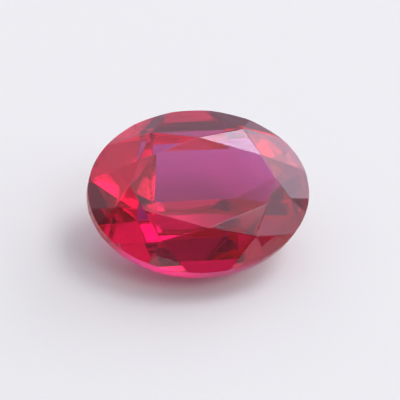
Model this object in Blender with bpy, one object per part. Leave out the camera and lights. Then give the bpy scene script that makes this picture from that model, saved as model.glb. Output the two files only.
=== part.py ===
"""An oval ruby, cut as a brilliant with a keel, lying on one facet of its pavilion.

The stone is cut the way a lapidary cuts it: an oval blank meets one flat lap after another.
Its own frame has the origin at the centre of the girdle's upper edge, X along the length,
Y across the width and Z up out of the table. At the end it is tipped over onto the keel facet
on its -Y side, which is how a loose stone lies on a flat surface.

Places on the girdle are given as an angle round the oval: 0 at +X, 90 at +Y.
"""

from math import atan2, cos, radians, sin

import bmesh
import bpy
from mathutils import Matrix, Vector

# The oval outline, in metres.
HALF_LENGTH = 0.00450
HALF_WIDTH = 0.00345
OVAL_SEGMENTS = 144

# Heights, in metres.
CROWN_HEIGHT = 0.00094
GIRDLE_THICKNESS = 0.00072
PAVILION_DEPTH = 0.00248

# The eight-sided table: half its length, half its width, and where its slanting corners lie.
TABLE_HALF_LENGTH = 0.00294
TABLE_HALF_WIDTH = 0.00190
TABLE_CORNER_ANGLE = 32.9

# Crown facets. Each main runs from a corner of the table down to a chord of the girdle. The
# chord is given by the angle round the oval of its middle and by half its width.
CROWN_MAIN_END = (0.0, 10.0)
CROWN_MAIN_SLANT = (34.0, 3.0)
CROWN_MAIN_SIDE = (90.0, 10.7)
# Heights of the outer tips of the star facets, above the girdle's upper edge.
STAR_TIP_NEAR_SIDE = 0.00070
STAR_TIP_NEAR_END = 0.00057

# Lower tier of the pavilion. Its facets meet in a short keel along the length instead of a
# pointed culet. Each is given by the direction that it faces, 0 towards +X and 90 towards +Y,
# and by its slope against the girdle.
KEEL_HALF_LENGTH = 0.00169
KEEL_FACET_END = (0.0, 40.0)
KEEL_FACET_SLANT = (42.0, 40.0)
KEEL_FACET_SIDE = (90.0, 26.0)

# Upper, steeper tier. Each main runs down from a chord of the girdle's lower edge, and they
# would meet this far below it if the lower tier didn't cut them short.
UPPER_TIER_DEPTH = 0.00360
PAVILION_MAIN_END = (0.0, 8.0)
PAVILION_MAIN_SLANT = (54.0, 10.0)
PAVILION_MAIN_SIDE = (90.0, 8.0)
# Where the lower halves meet on the ridges between two mains, as a share of the way from that
# deep end up to the girdle.
LOWER_HALF_START = 0.60

# The end of the keel that each of the eight facets round it starts from, anticlockwise from
# +X: 1.0 for the +X end, -1.0 for the -X end, and 0.0 for the two that run all along it.
FACET_SIDES = (1.0, 1.0, 0.0, -1.0, -1.0, -1.0, 0.0, 1.0)

# Points closer than this are one point.
MERGE_DISTANCE = 0.000002

# Small chips on the girdle's upper edge: angle round the oval, width along the edge, and
# depth of the bite.
CHIPS = (
    (-37.0, 0.00016, 0.00006),
    (-141.0, 0.00030, 0.00009),
)
CHIP_FACETS = 2

RUBY_RED = (0.60, 0.01, 0.06, 1.0)


def clear_scene():
    for old in list(bpy.data.objects):
        bpy.data.objects.remove(old, do_unlink=True)


def on_oval(angle, height):
    """The point of the girdle's outline at an angle round the oval, in degrees."""
    turn = radians(angle)
    return Vector((HALF_LENGTH * cos(turn), HALF_WIDTH * sin(turn), height))


def mirrored_round(slant):
    """A slanting facet's middle angle in each of the four quarters, anticlockwise."""
    return (slant, 180.0 - slant, 180.0 + slant, 360.0 - slant)


def eight_chords(end, slant, side):
    """The eight mains, anticlockwise from +X, as (middle angle, half width) of their chords."""
    first, second, third, fourth = mirrored_round(slant[0])
    return (
        (0.0, end[1]),
        (first, slant[1]),
        (90.0, side[1]),
        (second, slant[1]),
        (180.0, end[1]),
        (third, slant[1]),
        (270.0, side[1]),
        (fourth, slant[1]),
    )


def plane_through(one, two, three, inside):
    """The plane through three points, as (point, normal), its normal away from inside."""
    normal = (two - one).cross(three - one).normalized()
    if normal.dot(inside - one) > 0.0:
        normal.negate()
    return one, normal


def meeting_point(first, second, third):
    """The one point on three planes."""
    rows = Matrix((first[1], second[1], third[1]))
    reach = Vector([normal.dot(point) for point, normal in (first, second, third)])
    return rows.inverted() @ reach


def level(height):
    return Vector((0.0, 0.0, height)), Vector((0.0, 0.0, 1.0))


def sloping_plane(point, facing, slope):
    """The plane through a point that faces outwards and down, at a slope against the girdle."""
    outward = sin(radians(slope))
    normal = Vector(
        (outward * cos(radians(facing)), outward * sin(radians(facing)), -cos(radians(slope)))
    )
    return point, normal


def table_corners():
    """The eight corners of the table, anticlockwise from +X."""
    corners = []
    for angle in (0.0, TABLE_CORNER_ANGLE, 90.0, 180.0 - TABLE_CORNER_ANGLE):
        for turn in (angle, angle + 180.0):
            across = Vector(
                (
                    TABLE_HALF_LENGTH * cos(radians(turn)),
                    TABLE_HALF_WIDTH * sin(radians(turn)),
                    CROWN_HEIGHT,
                )
            )
            corners.append(across)
    return sorted(corners, key=lambda corner: atan2(corner.y, corner.x) % radians(359.999))


def main_planes(chords, height, tops):
    """One plane for each main, through its chord of the girdle and its upper or lower point."""
    centre = Vector((0.0, 0.0, height))
    planes = []
    for (middle, half), top in zip(chords, tops):
        left = on_oval(middle - half, height)
        right = on_oval(middle + half, height)
        planes.append(plane_through(left, right, top, centre))
    return planes


def half_planes(chords, height, joints):
    """Two planes between each two mains: from a chord's end, over the joint, to a shared point."""
    centre = Vector((0.0, 0.0, height))
    planes = []
    for index, joint in enumerate(joints):
        middle, half = chords[index]
        next_middle, next_half = chords[(index + 1) % len(chords)]
        if next_middle < middle:
            next_middle += 360.0
        start = middle + half
        end = next_middle - next_half
        shared = on_oval(0.5 * (start + end), height)
        planes.append(plane_through(on_oval(start, height), shared, joint, centre))
        planes.append(plane_through(on_oval(end, height), shared, joint, centre))
    return planes


def crown_planes():
    """The table, eight mains, eight stars and sixteen upper halves."""
    corners = table_corners()
    chords = eight_chords(CROWN_MAIN_END, CROWN_MAIN_SLANT, CROWN_MAIN_SIDE)
    mains = main_planes(chords, 0.0, corners)
    tip_heights = (STAR_TIP_NEAR_END, STAR_TIP_NEAR_SIDE, STAR_TIP_NEAR_SIDE, STAR_TIP_NEAR_END)
    tips = []
    stars = []
    for index in range(8):
        following = (index + 1) % 8
        tip = meeting_point(mains[index], mains[following], level(tip_heights[index % 4]))
        tips.append(tip)
        stars.append(
            plane_through(corners[index], corners[following], tip, Vector((0.0, 0.0, 0.0)))
        )
    return [level(CROWN_HEIGHT)] + stars + mains + half_planes(chords, 0.0, tips)


def below_girdle(side, depth):
    """A point under the keel line: side 1.0 for its +X end, -1.0 for its -X end, 0.0 between."""
    return Vector((side * KEEL_HALF_LENGTH, 0.0, -GIRDLE_THICKNESS - depth))


def upper_tier():
    """Eight mains and sixteen lower halves, next to the girdle."""
    lower_edge = -GIRDLE_THICKNESS
    chords = eight_chords(PAVILION_MAIN_END, PAVILION_MAIN_SLANT, PAVILION_MAIN_SIDE)
    feet = [below_girdle(side, UPPER_TIER_DEPTH) for side in FACET_SIDES]
    mains = main_planes(chords, lower_edge, feet)
    joints = []
    for index, side in enumerate((1.0, 1.0, -1.0, -1.0, -1.0, -1.0, 1.0, 1.0)):
        outer = meeting_point(mains[index], mains[(index + 1) % 8], level(lower_edge))
        joints.append(below_girdle(side, UPPER_TIER_DEPTH).lerp(outer, LOWER_HALF_START))
    return mains + half_planes(chords, lower_edge, joints)


def lower_tier():
    """Eight facets that meet along the keel."""
    first, second, third, fourth = mirrored_round(KEEL_FACET_SLANT[0])
    facings = (0.0, first, 90.0, second, 180.0, third, 270.0, fourth)
    slopes = (KEEL_FACET_END[1], KEEL_FACET_SLANT[1], KEEL_FACET_SIDE[1], KEEL_FACET_SLANT[1])
    planes = []
    for index, side in enumerate(FACET_SIDES):
        keel = below_girdle(side, PAVILION_DEPTH)
        planes.append(sloping_plane(keel, facings[index], slopes[index % 4]))
    return planes


def oval_blank():
    """The ground oval that the facets are cut from, as tall as the finished stone."""
    blank = bmesh.new()
    bottom = -GIRDLE_THICKNESS - PAVILION_DEPTH
    step = 360.0 / OVAL_SEGMENTS
    rings = []
    for height in (bottom, CROWN_HEIGHT):
        rings.append([blank.verts.new(on_oval(step * i, height)) for i in range(OVAL_SEGMENTS)])
    lower, upper = rings
    for index in range(OVAL_SEGMENTS):
        following = (index + 1) % OVAL_SEGMENTS
        blank.faces.new((lower[index], lower[following], upper[following], upper[index]))
    blank.faces.new(upper)
    blank.faces.new(list(reversed(lower)))
    return blank


def cut_facet(stone, plane):
    """Grinds away all of the stone that lies outside one plane, and closes the cut."""
    point, normal = plane
    everything = stone.verts[:] + stone.edges[:] + stone.faces[:]
    result = bmesh.ops.bisect_plane(
        stone, geom=everything, dist=1e-9, plane_co=point, plane_no=normal, clear_outer=True
    )
    rim = [item for item in result["geom_cut"] if isinstance(item, bmesh.types.BMEdge)]
    if rim:
        bmesh.ops.contextual_create(stone, geom=rim)


def cut_stone():
    stone = oval_blank()
    for plane in crown_planes()[1:] + upper_tier() + lower_tier():
        cut_facet(stone, plane)
    bmesh.ops.remove_doubles(stone, verts=stone.verts[:], dist=MERGE_DISTANCE)
    bmesh.ops.recalc_face_normals(stone, faces=stone.faces[:])
    return stone


def ruby_material():
    material = bpy.data.materials.new("ruby")
    material.use_nodes = True
    shader = material.node_tree.nodes["Principled BSDF"]
    shader.inputs["Base Color"].default_value = RUBY_RED
    shader.inputs["Roughness"].default_value = 0.03
    shader.inputs["Metallic"].default_value = 0.0
    shader.inputs["IOR"].default_value = 1.77
    shader.inputs["Transmission Weight"].default_value = 1.0
    return material


def chip_cutter(index, angle, width, depth):
    """A flattened ball that bites a small shell-shaped chip out of the girdle's upper edge."""
    reach = (0.25 * width * width + depth * depth) / (2.0 * depth)
    edge = on_oval(angle, 0.0)
    outward = Vector((edge.x / HALF_LENGTH**2, edge.y / HALF_WIDTH**2, 0.0)).normalized()
    away = (outward + Vector((0.0, 0.0, 0.7))).normalized()
    ball = bmesh.new()
    bmesh.ops.create_icosphere(ball, subdivisions=CHIP_FACETS, radius=reach)
    bmesh.ops.translate(ball, verts=ball.verts[:], vec=edge + away * (reach - depth))
    mesh = bpy.data.meshes.new(f"chip_{index}")
    ball.to_mesh(mesh)
    ball.free()
    cutter = bpy.data.objects.new(f"chip_{index}", mesh)
    cutter.hide_render = True
    cutter.display_type = "WIRE"
    bpy.context.collection.objects.link(cutter)
    return cutter


def resting_pose(mesh):
    """Tips the stone onto the keel facet of its -Y side, and centres it over the origin."""
    turned = Matrix.Rotation(radians(KEEL_FACET_SIDE[1]), 4, "X")
    points = [turned @ vertex.co for vertex in mesh.vertices]
    lowest = min(point.z for point in points)
    middle = 0.5 * (min(point.y for point in points) + max(point.y for point in points))
    return Matrix.Translation((0.0, -middle, -lowest)) @ turned


def make_ruby():
    mesh = bpy.data.meshes.new("ruby")
    stone = cut_stone()
    stone.to_mesh(mesh)
    stone.free()
    mesh.materials.append(ruby_material())
    ruby = bpy.data.objects.new("ruby", mesh)
    bpy.context.collection.objects.link(ruby)
    pose = resting_pose(mesh)
    ruby.matrix_world = pose
    for index, (angle, width, depth) in enumerate(CHIPS):
        cutter = chip_cutter(index, angle, width, depth)
        cutter.matrix_world = pose
        bite = ruby.modifiers.new(f"chip_{index}", "BOOLEAN")
        bite.operation = "DIFFERENCE"
        bite.solver = "EXACT"
        bite.object = cutter
    return ruby


clear_scene()
make_ruby()
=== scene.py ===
"""The looks of a loose oval ruby: clear red, with polished facets and a ground girdle.

The stone keeps the shape of its CAD solid. Its facets are made whole again, and the edges
between them are rounded by about two hundredths of a millimetre and a little frosted, as wear
does. The facets have a few faint dull patches and scratches, the band round the widest part is
ground matt, and the chips are rough. The stone lies on a pale matt surface, under soft light
that comes mostly from its right.
"""

from math import cos, radians, sin

import bmesh
import bpy
from mathutils import Euler, Matrix, Vector


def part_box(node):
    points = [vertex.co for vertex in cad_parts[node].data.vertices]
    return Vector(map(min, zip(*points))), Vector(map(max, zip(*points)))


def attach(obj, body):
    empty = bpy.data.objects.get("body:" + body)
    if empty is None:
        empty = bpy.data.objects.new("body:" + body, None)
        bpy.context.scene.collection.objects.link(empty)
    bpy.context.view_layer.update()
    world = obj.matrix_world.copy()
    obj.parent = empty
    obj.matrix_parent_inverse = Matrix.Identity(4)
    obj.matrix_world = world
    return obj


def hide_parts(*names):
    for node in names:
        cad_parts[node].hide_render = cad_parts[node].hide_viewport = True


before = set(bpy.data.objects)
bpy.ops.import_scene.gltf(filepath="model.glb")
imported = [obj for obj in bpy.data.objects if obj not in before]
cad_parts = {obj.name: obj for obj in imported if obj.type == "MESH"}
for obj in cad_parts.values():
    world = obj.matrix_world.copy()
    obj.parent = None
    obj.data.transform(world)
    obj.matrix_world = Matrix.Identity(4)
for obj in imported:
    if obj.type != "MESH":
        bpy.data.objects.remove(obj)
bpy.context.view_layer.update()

MM = 0.001

# How the stone lies: it is tipped about X by this much.
STONE_TILT = 26.0

# Corners closer than this are one corner, and faces that turn less than this are one facet.
SAME_CORNER = 0.0002 * MM
SAME_FACET = 0.3

# Edges between facets: the least length that gets rounded, the least turn and the rounding.
EDGE_LENGTH = 0.25 * MM
EDGE_TURN = 3.0
EDGE_ROUNDING = 0.024 * MM
EDGE_STEPS = 2
ROUND_PROFILE = 0.5

# The broken faces inside the chips are all smaller than this, and every cut facet is larger.
CHIP_FACE = 0.02 * MM * MM
# A girdle face's normal has no more than this along the stone's axis.
GIRDLE_LEAN = 0.03
# How frosted the ground girdle and the chips are, and the worn edges.
GROUND = 1.0
WORN = 0.45
FROST_LAYER = "frost"

# Camera: from straight in front towards +X, then up; its roll, distance and width of view.
CAMERA_AZIMUTH = -14.62
CAMERA_ELEVATION = 44.34
CAMERA_ROLL = 7.61
CAMERA_DISTANCE = 54.0 * MM
CAMERA_FIELD = 16.9
CAMERA_SHIFT = (0.0003, -0.0246)
CAMERA_NEAR = 1.0 * MM
# How close to the stone's +X end a corner counts as being at that end.
END_REACH = 0.001 * MM

# Ruby: its refraction, the cool tint of light that passes straight through, and how strongly
# it absorbs red, green and blue light, per metre.
RUBY_IOR = 1.765
RUBY_TINT = (0.64, 0.78, 1.0, 1.0)
ABSORPTION = (22.0, 720.0, 340.0)

# Roughness of the polish where it is clean, in its dull patches and in its scratches, and of
# the ground girdle.
POLISH_ROUGHNESS = 0.006
DULL_ROUGHNESS = 0.05
SCRATCH_ROUGHNESS = 0.16
GROUND_ROUGHNESS = 0.36

# Dull patches: how many per metre, their finer detail, and the noise from which a place starts
# to be dull and at which it is fully dull.
PATCHES = 900.0
PATCH_DETAIL = 3.0
PATCH_RANGE = (0.50, 0.68)

# Scratches: how many per metre across and along them, their finer detail, the noise from which
# they start and at which they are deepest, and the turns of the two sets about the vertical.
SCRATCH_ACROSS = 15000.0
SCRATCH_ALONG = 700.0
SCRATCH_DETAIL = 1.0
SCRATCH_RANGE = (0.60, 0.68)
SCRATCH_TURNS = (24.0, -52.0)

# Grain on ground and worn places: how many per metre, its finer detail and its height.
GRAIN = 16000.0
GRAIN_DETAIL = 2.0
RELIEF = 0.01 * MM

# Soft round patches of light in the surroundings: the compass direction from +Y towards +X,
# the height, radius and softness, all in degrees, and the brightness.
LIGHTS = (
    (61.0, 62.0, 12.0, 4.0, 5.4),
    (57.0, 21.0, 24.0, 10.0, 2.7),
    (108.0, 24.0, 17.0, 10.0, 1.3),
    (115.0, 76.0, 22.0, 12.0, 0.75),
    (130.0, 56.0, 9.0, 4.0, 3.2),
    (5.0, 26.0, 24.0, 16.0, 0.75),
    (-55.0, 45.0, 35.0, 20.0, 0.57),
)
AMBIENT = 0.16
# The light is faintly violet, and the floor's own colour makes up for it: lit, it is near white.
LIGHT_COLOUR = (1.0, 0.96, 1.2, 1.0)
FLOOR_COLOUR = (0.79, 0.82, 0.69, 1.0)
BACKDROP_COLOUR = (0.86, 0.85, 0.89, 1.0)

FLOOR_SIZE = 0.6
FLOOR_DROP = 0.01 * MM
FLOOR_ROUGHNESS = 0.7
FLOOR_SHINE = 0.2

# Bounces of light that are followed, in all and off glossy faces, and the blur and the limit
# that calm its brightest specks.
BOUNCES = 24
GLOSSY_BOUNCES = 12
GLOSSY_BLUR = 0.3
BRIGHTEST_BOUNCE = 8.0


def stone_axis():
    """The direction out of the table."""
    return Matrix.Rotation(radians(STONE_TILT), 4, "X") @ Vector((0.0, 0.0, 1.0))


def whole_facets(mesh):
    """The CAD mesh again with each flat facet as one face."""
    stone = bmesh.new()
    stone.from_mesh(mesh)
    bmesh.ops.remove_doubles(stone, verts=stone.verts[:], dist=SAME_CORNER)
    bmesh.ops.dissolve_limit(
        stone, angle_limit=radians(SAME_FACET), verts=stone.verts[:], edges=stone.edges[:]
    )
    return stone


def frost_chips(stone):
    """Notes the small broken faces of the chips as frosted."""
    frost = stone.faces.layers.float.new(FROST_LAYER)
    for face in stone.faces:
        if face.calc_area() < CHIP_FACE:
            face[frost] = GROUND


def round_edges(stone):
    """Rounds the edges between facets, and notes the new narrow faces as worn."""
    frost = stone.faces.layers.float[FROST_LAYER]
    edges = [
        edge
        for edge in stone.edges
        if edge.calc_length() > EDGE_LENGTH
        and len(edge.link_faces) == 2
        and edge.calc_face_angle(0.0) > radians(EDGE_TURN)
    ]
    rounded = bmesh.ops.bevel(
        stone,
        geom=edges,
        offset=EDGE_ROUNDING,
        offset_type="OFFSET",
        segments=EDGE_STEPS,
        profile=ROUND_PROFILE,
        affect="EDGES",
        clamp_overlap=False,
    )
    for face in rounded["faces"]:
        face[frost] = WORN


def frost_girdle(stone):
    """Notes the faces of the ground band, which are the ones that stand along the axis."""
    frost = stone.faces.layers.float[FROST_LAYER]
    axis = stone_axis()
    stone.normal_update()
    for face in stone.faces:
        if abs(face.normal.dot(axis)) < GIRDLE_LEAN:
            face[frost] = GROUND


def make_stone():
    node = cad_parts["ruby"]
    stone = whole_facets(node.data)
    frost_chips(stone)
    round_edges(stone)
    frost_girdle(stone)
    mesh = bpy.data.meshes.new("ruby_stone")
    stone.to_mesh(mesh)
    stone.free()
    mesh.materials.append(ruby_material())
    piece = bpy.data.objects.new("ruby_stone", mesh)
    bpy.context.collection.objects.link(piece)
    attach(piece, "root")
    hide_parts("ruby")


def noise(material, place, scale, detail):
    texture = material.node_tree.nodes.new("ShaderNodeTexNoise")
    texture.inputs["Scale"].default_value = scale
    texture.inputs["Detail"].default_value = detail
    material.node_tree.links.new(place, texture.inputs["Vector"])
    return texture.outputs["Fac"]


def stretched(material, place, turn):
    """Coordinates in which round noise becomes long thin scratches."""
    mapping = material.node_tree.nodes.new("ShaderNodeMapping")
    mapping.vector_type = "POINT"
    mapping.inputs["Rotation"].default_value = (0.0, 0.0, radians(turn))
    mapping.inputs["Scale"].default_value = (SCRATCH_ALONG, SCRATCH_ACROSS, SCRATCH_ACROSS)
    material.node_tree.links.new(place, mapping.inputs["Vector"])
    return mapping.outputs["Vector"]


def spread(material, value, low, high, result):
    """0 up to the low value, then rising to the result at the high one."""
    rise = material.node_tree.nodes.new("ShaderNodeMapRange")
    rise.inputs["From Min"].default_value = low
    rise.inputs["From Max"].default_value = high
    rise.inputs["To Max"].default_value = result
    material.node_tree.links.new(value, rise.inputs["Value"])
    return rise.outputs["Result"]


def larger(material, one, other):
    pick = material.node_tree.nodes.new("ShaderNodeMath")
    pick.operation = "MAXIMUM"
    material.node_tree.links.new(one, pick.inputs[0])
    material.node_tree.links.new(other, pick.inputs[1])
    return pick.outputs["Value"]


def wear(material, place):
    """Roughness above the clean polish: frosted faces, dull patches and scratches."""
    frost = material.node_tree.nodes.new("ShaderNodeAttribute")
    frost.attribute_name = FROST_LAYER
    ground = spread(material, frost.outputs["Fac"], 0.0, GROUND, GROUND_ROUGHNESS)
    patches = noise(material, place, PATCHES, PATCH_DETAIL)
    dull = spread(material, patches, *PATCH_RANGE, DULL_ROUGHNESS)
    roughest = larger(material, ground, dull)
    for turn in SCRATCH_TURNS:
        lines = noise(material, stretched(material, place, turn), 1.0, SCRATCH_DETAIL)
        marks = spread(material, lines, *SCRATCH_RANGE, SCRATCH_ROUGHNESS)
        roughest = larger(material, roughest, marks)
    return roughest


def polish(material, wear_roughness):
    """Adds the roughness of the clean polish."""
    total = material.node_tree.nodes.new("ShaderNodeMath")
    total.operation = "ADD"
    total.inputs[1].default_value = POLISH_ROUGHNESS
    material.node_tree.links.new(wear_roughness, total.inputs[0])
    return total.outputs["Value"]


def grain(material, place, wear_roughness):
    """Fine relief that is as strong as the place is rough."""
    relief = material.node_tree.nodes.new("ShaderNodeBump")
    relief.inputs["Distance"].default_value = RELIEF
    strength = spread(material, wear_roughness, 0.0, GROUND_ROUGHNESS, 1.0)
    height = noise(material, place, GRAIN, GRAIN_DETAIL)
    material.node_tree.links.new(strength, relief.inputs["Strength"])
    material.node_tree.links.new(height, relief.inputs["Height"])
    return relief.outputs["Normal"]


def absorb(material):
    """Takes red, green and blue light away inside the stone, each at its own rate."""
    nodes = material.node_tree.nodes
    density = max(ABSORPTION)
    absorption = nodes.new("ShaderNodeVolumeAbsorption")
    absorption.inputs["Density"].default_value = density
    kept = [1.0 - rate / density for rate in ABSORPTION]
    absorption.inputs["Color"].default_value = (*kept, 1.0)
    material.node_tree.links.new(
        absorption.outputs["Volume"], nodes["Material Output"].inputs["Volume"]
    )


def ruby_material():
    """Clear ruby: polished facets with a few fine wear marks, and a matt ground girdle."""
    material = bpy.data.materials.new("ruby")
    material.use_nodes = True
    nodes = material.node_tree.nodes
    links = material.node_tree.links
    shader = nodes["Principled BSDF"]
    shader.inputs["Base Color"].default_value = RUBY_TINT
    shader.inputs["IOR"].default_value = RUBY_IOR
    shader.inputs["Transmission Weight"].default_value = 1.0
    place = nodes.new("ShaderNodeTexCoord").outputs["Object"]
    wear_roughness = wear(material, place)
    links.new(polish(material, wear_roughness), shader.inputs["Roughness"])
    links.new(grain(material, place, wear_roughness), shader.inputs["Normal"])
    absorb(material)
    return material


def floor_material():
    material = bpy.data.materials.new("floor")
    material.use_nodes = True
    shader = material.node_tree.nodes["Principled BSDF"]
    shader.inputs["Base Color"].default_value = FLOOR_COLOUR
    shader.inputs["Roughness"].default_value = FLOOR_ROUGHNESS
    shader.inputs["Specular IOR Level"].default_value = FLOOR_SHINE
    return material


def make_floor():
    """A square floor, a little lower than the stone so that the two don't share a plane."""
    half = 0.5 * FLOOR_SIZE
    mesh = bpy.data.meshes.new("floor")
    corners = ((-half, -half), (half, -half), (half, half), (-half, half))
    mesh.from_pydata([(x, y, -FLOOR_DROP) for x, y in corners], [], [(0, 1, 2, 3)])
    mesh.materials.append(floor_material())
    floor = bpy.data.objects.new("floor", mesh)
    bpy.context.collection.objects.link(floor)


def direction(azimuth, elevation):
    """A unit vector: azimuth from +Y towards +X, elevation up from the floor."""
    level = cos(radians(elevation))
    return (
        level * sin(radians(azimuth)),
        level * cos(radians(azimuth)),
        sin(radians(elevation)),
    )


def soft_patch(tree, towards, azimuth, elevation, radius, softness, brightness):
    """One soft round patch of light in the surroundings."""
    nearness = tree.nodes.new("ShaderNodeVectorMath")
    nearness.operation = "DOT_PRODUCT"
    nearness.inputs[1].default_value = direction(azimuth, elevation)
    tree.links.new(towards, nearness.inputs[0])
    patch = tree.nodes.new("ShaderNodeMapRange")
    patch.interpolation_type = "SMOOTHSTEP"
    patch.inputs["From Min"].default_value = cos(radians(radius + softness))
    patch.inputs["From Max"].default_value = cos(radians(radius - softness))
    patch.inputs["To Max"].default_value = brightness
    tree.links.new(nearness.outputs["Value"], patch.inputs["Value"])
    return patch.outputs["Result"]


def light_strength(tree):
    """The brightness of the surroundings in each direction: the ambient light and the patches."""
    towards = tree.nodes.new("ShaderNodeTexCoord").outputs["Generated"]
    total = None
    for patch in LIGHTS:
        brightness = soft_patch(tree, towards, *patch)
        add = tree.nodes.new("ShaderNodeMath")
        add.operation = "ADD"
        tree.links.new(brightness, add.inputs[0])
        if total is None:
            add.inputs[1].default_value = AMBIENT
        else:
            tree.links.new(total, add.inputs[1])
        total = add.outputs["Value"]
    return total


def make_surroundings():
    """Lights the stone by the soft patches, and shows a plain pale backdrop past the floor."""
    world = bpy.data.worlds.new("studio")
    bpy.context.scene.world = world
    world.use_nodes = True
    tree = world.node_tree
    light = tree.nodes["Background"]
    light.inputs["Color"].default_value = LIGHT_COLOUR
    tree.links.new(light_strength(tree), light.inputs["Strength"])
    backdrop = tree.nodes.new("ShaderNodeBackground")
    backdrop.inputs["Color"].default_value = BACKDROP_COLOUR
    seen = tree.nodes.new("ShaderNodeLightPath").outputs["Is Camera Ray"]
    both = tree.nodes.new("ShaderNodeMixShader")
    tree.links.new(seen, both.inputs["Fac"])
    tree.links.new(light.outputs["Background"], both.inputs[1])
    tree.links.new(backdrop.outputs["Background"], both.inputs[2])
    tree.links.new(both.outputs["Shader"], tree.nodes["World Output"].inputs["Surface"])


def girdle_centre():
    """The middle of the girdle's upper edge, which is as high and as far back as its +X end."""
    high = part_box("ruby")[1]
    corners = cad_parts["ruby"].data.vertices
    ends = [corner.co for corner in corners if corner.co.x > high.x - END_REACH]
    top = max(ends, key=lambda place: place.dot(stone_axis()))
    return Vector((0.0, top.y, top.z))


def make_camera():
    turn = Euler(
        (radians(90.0 - CAMERA_ELEVATION), 0.0, radians(CAMERA_AZIMUTH)), "XYZ"
    ).to_matrix().to_4x4()
    turn = turn @ Matrix.Rotation(radians(CAMERA_ROLL), 4, "Z")
    camera = bpy.data.cameras.new("camera")
    camera.angle = radians(CAMERA_FIELD)
    camera.clip_start = CAMERA_NEAR
    camera.shift_x, camera.shift_y = CAMERA_SHIFT
    holder = bpy.data.objects.new("camera", camera)
    bpy.context.collection.objects.link(holder)
    back = turn.to_3x3() @ Vector((0.0, 0.0, CAMERA_DISTANCE))
    holder.matrix_world = Matrix.Translation(girdle_centre() + back) @ turn
    bpy.context.scene.camera = holder


def set_picture():
    """Plain colours, enough bounces for light inside the stone, and a calm noise-free picture."""
    scene = bpy.context.scene
    scene.view_settings.view_transform = "Standard"
    scene.cycles.use_denoising = True
    scene.cycles.denoising_input_passes = "RGB"
    scene.cycles.max_bounces = BOUNCES
    scene.cycles.transmission_bounces = BOUNCES
    scene.cycles.glossy_bounces = GLOSSY_BOUNCES
    scene.cycles.blur_glossy = GLOSSY_BLUR
    scene.cycles.sample_clamp_indirect = BRIGHTEST_BOUNCE


make_stone()
make_floor()
make_surroundings()
make_camera()
set_picture()
